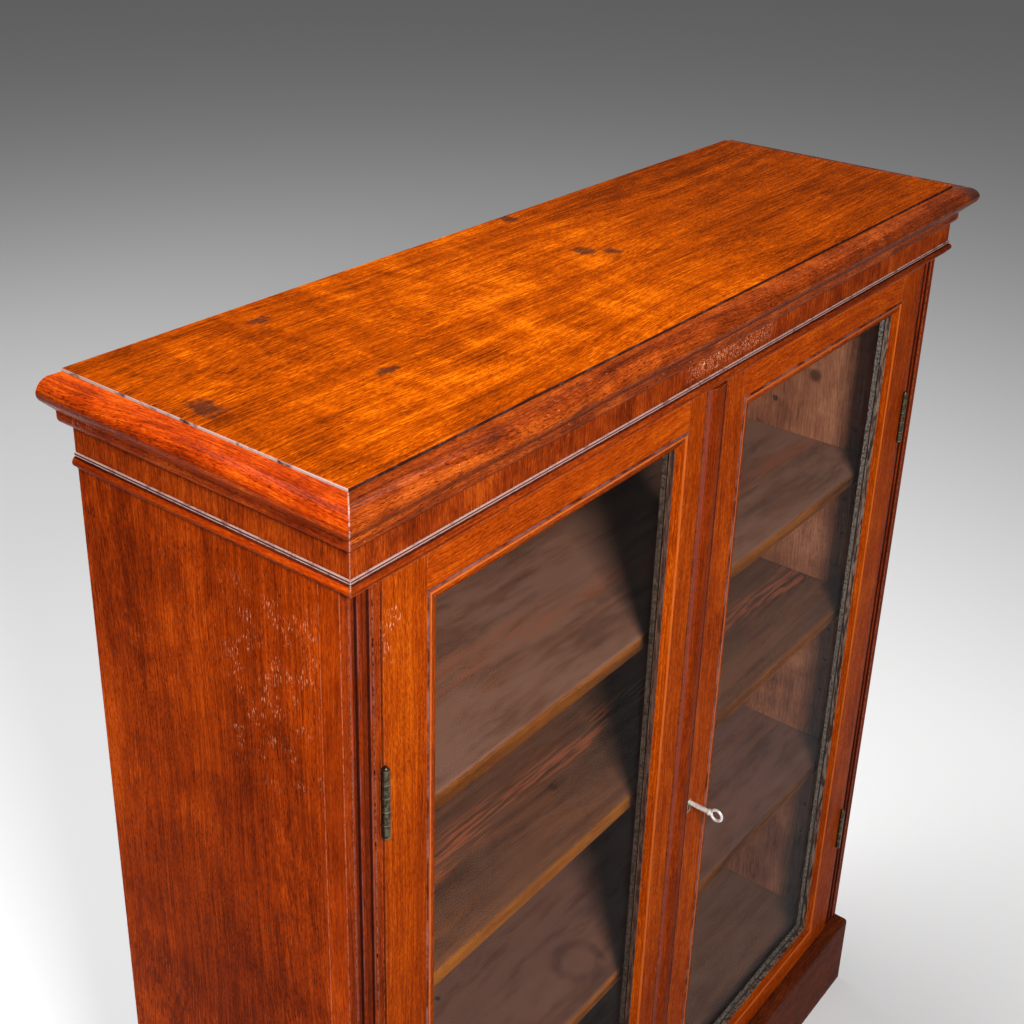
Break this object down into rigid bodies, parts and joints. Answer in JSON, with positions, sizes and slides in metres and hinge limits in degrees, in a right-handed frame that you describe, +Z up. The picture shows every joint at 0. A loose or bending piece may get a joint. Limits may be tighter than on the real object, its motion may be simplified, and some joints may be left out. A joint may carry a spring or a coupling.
{
  "type": "bookcase with adjustable shelves",
  "caption": "Free-standing glazed bookcase in polished mahogany with hinged locking doors, reeded pilasters, a moulded cornice and plinth, and adjustable shelves on pegs.",
  "frame": {"origin": "on the floor, under the middle of the whole object's bounding box", "axes": "+Z up, the doors face -Y, +X runs to the right seen from the front"},
  "size_m": [1.05, 0.3393, 1.224],
  "materials": {
    "polished_mahogany": "gloss",
    "top_mahogany": "gloss",
    "interior_wood": "matte",
    "glass": "gloss",
    "aged_brass": "satin",
    "screw_brass": "satin",
    "bright_steel": "satin"
  },
  "bodies": {
    "case": {"top_board": "top_mahogany", "cornice_front": "polished_mahogany", "cornice_left": "polished_mahogany", "cornice_right": "polished_mahogany", "frieze_front": "polished_mahogany", "frieze_left": "polished_mahogany", "frieze_right": "polished_mahogany", "astragal_front": "polished_mahogany", "astragal_left": "polished_mahogany", "astragal_right": "polished_mahogany", "side_panel_left": "polished_mahogany", "side_panel_right": "polished_mahogany", "pilaster_left": "polished_mahogany", "pilaster_right": "polished_mahogany", "head_rail": "polished_mahogany", "carcass_top": "interior_wood", "bottom_board": "interior_wood", "plinth_front": "polished_mahogany", "plinth_left": "polished_mahogany", "plinth_right": "polished_mahogany", "plinth_back": "interior_wood", "glue_blocks": "interior_wood", "back_boards": "interior_wood", "door_stops": "interior_wood", "shelf_pegs": "aged_brass", "bolt_keeps": "aged_brass", "hinge_case_leaves": "aged_brass", "hinge_pins": "aged_brass", "hinge_case_screws": "screw_brass"},
    "left_door": {"left_door_stile_outer": "polished_mahogany", "left_door_stile_inner": "polished_mahogany", "left_door_rail_top": "polished_mahogany", "left_door_rail_bottom": "polished_mahogany", "left_door_mouldings": "polished_mahogany", "left_door_glass": "glass", "left_door_glazing_beads": "polished_mahogany", "left_door_hinge_leaves": "aged_brass", "left_door_screws": "screw_brass", "strike_plate": "aged_brass", "slide_bolt_plates": "aged_brass"},
    "right_door": {"right_door_stile_outer": "polished_mahogany", "right_door_stile_inner": "polished_mahogany", "right_door_rail_top": "polished_mahogany", "right_door_rail_bottom": "polished_mahogany", "right_door_mouldings": "polished_mahogany", "right_door_glass": "glass", "right_door_glazing_beads": "polished_mahogany", "right_door_hinge_leaves": "aged_brass", "right_door_screws": "screw_brass", "meeting_bead": "polished_mahogany", "escutcheon": "aged_brass", "lock_case": "aged_brass", "lock_cover": "aged_brass"},
    "key": {"key": "bright_steel"},
    "lock_bolt": {"lock_bolt": "aged_brass"},
    "slide_bolt_upper": {"slide_bolt_upper": "aged_brass"},
    "slide_bolt_lower": {"slide_bolt_lower": "aged_brass"},
    "shelf_upper": {"shelf_upper": "interior_wood"},
    "shelf_middle": {"shelf_middle": "interior_wood"},
    "shelf_lower": {"shelf_lower": "interior_wood"}
  },
  "joints": [
    {"name": "left_door_hinge", "type": "hinge", "parent": "case", "child": "left_door", "pos_m": [-0.4623, -0.12955, 0.6196], "axis": [0, 0, -1], "range_deg": [0, 170]},
    {"name": "right_door_hinge", "type": "hinge", "parent": "case", "child": "right_door", "pos_m": [0.4623, -0.12955, 0.6196], "axis": [0, 0, 1], "range_deg": [0, 170]},
    {"name": "key_turn", "type": "hinge", "parent": "right_door", "child": "key", "pos_m": [0.018, -0.12765, 0.6335], "axis": [0, 1, 0], "range_deg": [0, 90]},
    {"name": "lock_bolt_slide", "type": "slide", "parent": "right_door", "child": "lock_bolt", "axis": [-1, 0, 0], "range_m": [0, 0.008]},
    {"name": "upper_bolt_slide", "type": "slide", "parent": "left_door", "child": "slide_bolt_upper", "axis": [0, 0, 1], "range_m": [0, 0.012]},
    {"name": "lower_bolt_slide", "type": "slide", "parent": "left_door", "child": "slide_bolt_lower", "axis": [0, 0, -1], "range_m": [0, 0.012]},
    {"name": "shelf_upper_lift", "type": "slide", "parent": "case", "child": "shelf_upper", "axis": [0, 0, 1], "range_m": [0, 0.045]},
    {"name": "shelf_middle_lift", "type": "slide", "parent": "case", "child": "shelf_middle", "axis": [0, 0, 1], "range_m": [0, 0.045]},
    {"name": "shelf_lower_lift", "type": "slide", "parent": "case", "child": "shelf_lower", "axis": [0, 0, 1], "range_m": [0, 0.045]}
  ],
  "couplings": [
    {"joint": "key_turn", "follows": "lock_bolt_slide", "rad_per_m": 196}
  ]
}
